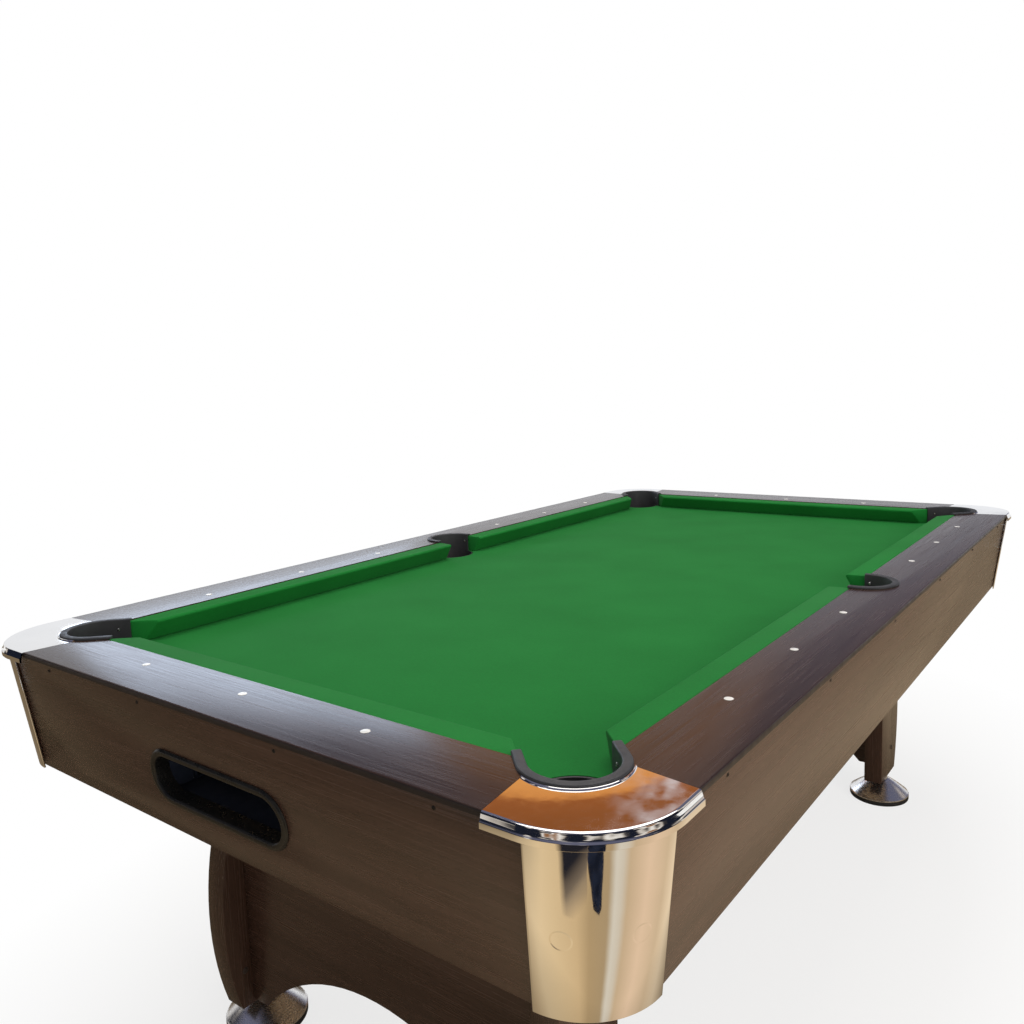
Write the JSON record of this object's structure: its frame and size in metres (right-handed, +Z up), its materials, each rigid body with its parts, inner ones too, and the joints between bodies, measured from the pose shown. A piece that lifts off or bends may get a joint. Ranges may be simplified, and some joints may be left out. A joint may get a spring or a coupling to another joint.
{
  "type": "billiard table",
  "caption": "Home billiard table: wood-grain cabinet with leaning aprons, chromed corners, drop pockets feeding a ball box, and arched leg frames on screw feet.",
  "frame": {"origin": "on the floor under the middle of the table", "axes": "+Z up, +Y along the table away from the end with the ball box, +X to the right seen from that end"},
  "size_m": [1.323, 2.3286, 0.8323],
  "materials": {
    "laminate": "satin dark brown wood-grain laminate on board",
    "bare_board": "bare fibreboard",
    "felt": "napped green cloth",
    "chrome": "polished chrome plating",
    "rubber": "dull moulded rubber",
    "plastic": "black moulded plastic"
  },
  "bodies": {
    "table": {"apron_far": "laminate", "apron_left": "laminate", "apron_near": "laminate", "apron_right": "laminate", "arch_far": "laminate", "arch_near": "laminate", "ball_bezel": "plastic", "ball_tray": "plastic", "beam_far": "bare_board", "beam_mid_far": "bare_board", "beam_mid_near": "bare_board", "beam_near": "bare_board", "bed_cloth": "felt", "bed_panel": "bare_board", "block_far_left": "bare_board", "block_far_right": "bare_board", "block_near_left": "bare_board", "block_near_right": "bare_board", "cap_far_left": "chrome", "cap_far_right": "chrome", "cap_near_left": "chrome", "cap_near_right": "chrome", "cushion_far": "felt", "cushion_left_far": "felt", "cushion_left_near": "felt", "cushion_near": "felt", "cushion_right_far": "felt", "cushion_right_near": "felt", "fence_left": "bare_board", "fence_right": "bare_board", "gutter_left": "bare_board", "gutter_right": "bare_board", "leg_far_left": "laminate", "leg_far_right": "laminate", "leg_near_left": "laminate", "leg_near_right": "laminate", "liner_far_left": "rubber", "liner_far_right": "rubber", "liner_left": "rubber", "liner_near_left": "rubber", "liner_near_right": "rubber", "liner_right": "rubber", "rail_far": "laminate", "rail_left": "laminate", "rail_near": "laminate", "rail_right": "laminate", "skirt_far_left": "chrome", "skirt_far_right": "chrome", "skirt_near_left": "chrome", "skirt_near_right": "chrome", "spout_left": "plastic", "spout_right": "plastic"},
    "foot_pad_near_left": {"glide_near_left": "rubber"},
    "foot_screw_near_left": {"screw_near_left": "chrome"},
    "foot_pad_near_right": {"glide_near_right": "rubber"},
    "foot_screw_near_right": {"screw_near_right": "chrome"},
    "foot_pad_far_left": {"glide_far_left": "rubber"},
    "foot_screw_far_left": {"screw_far_left": "chrome"},
    "foot_pad_far_right": {"glide_far_right": "rubber"},
    "foot_screw_far_right": {"screw_far_right": "chrome"}
  },
  "joints": [
    {"name": "pad_slide_near_left", "type": "slide", "parent": "table", "child": "foot_pad_near_left", "axis": [0, 0, -1], "range_m": [0, 0.025]},
    {"name": "screw_turn_near_left", "type": "hinge", "parent": "foot_pad_near_left", "child": "foot_screw_near_left", "pos_m": [-0.376, -0.81561, 0.04], "axis": [0, 0, -1], "range_deg": [0, 4500]},
    {"name": "pad_slide_near_right", "type": "slide", "parent": "table", "child": "foot_pad_near_right", "axis": [0, 0, -1], "range_m": [0, 0.025]},
    {"name": "screw_turn_near_right", "type": "hinge", "parent": "foot_pad_near_right", "child": "foot_screw_near_right", "pos_m": [0.376, -0.81561, 0.04], "axis": [0, 0, -1], "range_deg": [0, 4500]},
    {"name": "pad_slide_far_left", "type": "slide", "parent": "table", "child": "foot_pad_far_left", "axis": [0, 0, -1], "range_m": [0, 0.025]},
    {"name": "screw_turn_far_left", "type": "hinge", "parent": "foot_pad_far_left", "child": "foot_screw_far_left", "pos_m": [-0.376, 0.81561, 0.04], "axis": [0, 0, -1], "range_deg": [0, 4500]},
    {"name": "pad_slide_far_right", "type": "slide", "parent": "table", "child": "foot_pad_far_right", "axis": [0, 0, -1], "range_m": [0, 0.025]},
    {"name": "screw_turn_far_right", "type": "hinge", "parent": "foot_pad_far_right", "child": "foot_screw_far_right", "pos_m": [0.376, 0.81561, 0.04], "axis": [0, 0, -1], "range_deg": [0, 4500]}
  ],
  "couplings": [
    {"joint": "pad_slide_near_left", "follows": "screw_turn_near_left", "m_per_rad": 0.0003183},
    {"joint": "pad_slide_near_right", "follows": "screw_turn_near_right", "m_per_rad": 0.0003183},
    {"joint": "pad_slide_far_left", "follows": "screw_turn_far_left", "m_per_rad": 0.0003183},
    {"joint": "pad_slide_far_right", "follows": "screw_turn_far_right", "m_per_rad": 0.0003183}
  ]
}
